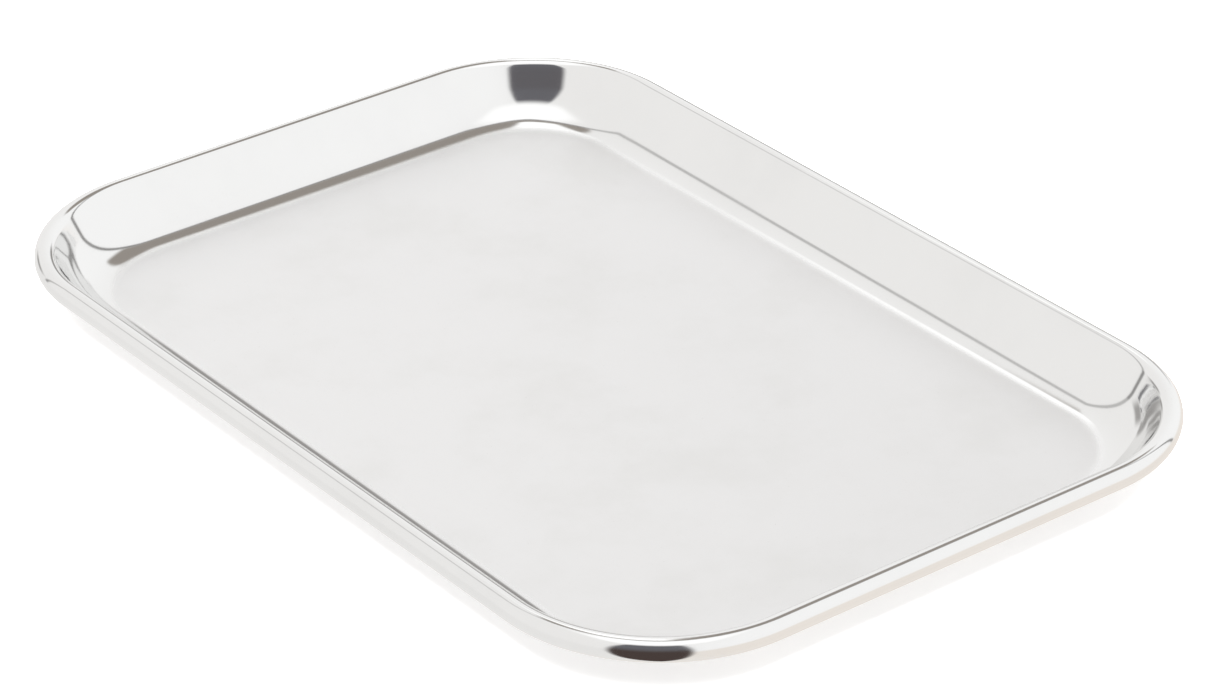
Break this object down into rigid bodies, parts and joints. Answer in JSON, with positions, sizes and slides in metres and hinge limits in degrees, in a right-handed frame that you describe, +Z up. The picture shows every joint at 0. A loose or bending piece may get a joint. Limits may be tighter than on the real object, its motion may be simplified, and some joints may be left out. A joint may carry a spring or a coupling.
{
  "type": "shallow tray",
  "caption": "Shallow rectangular steel tray with large round corners, walls that slope outward and a rolled, wired rim.",
  "frame": {"origin": "on the surface the tray stands on, under the middle of the tray", "axes": "+X along the length, +Y across the width, +Z up, towards the open side"},
  "size_m": [0.3302, 0.2286, 0.0175],
  "materials": {
    "tray_steel": "polished on the walls and rim, satin on the floor",
    "wire_steel": "drawn wire, unpolished"
  },
  "bodies": {
    "root": {"pan_shell": "tray_steel", "rim_wire": "wire_steel"}
  },
  "joints": []
}
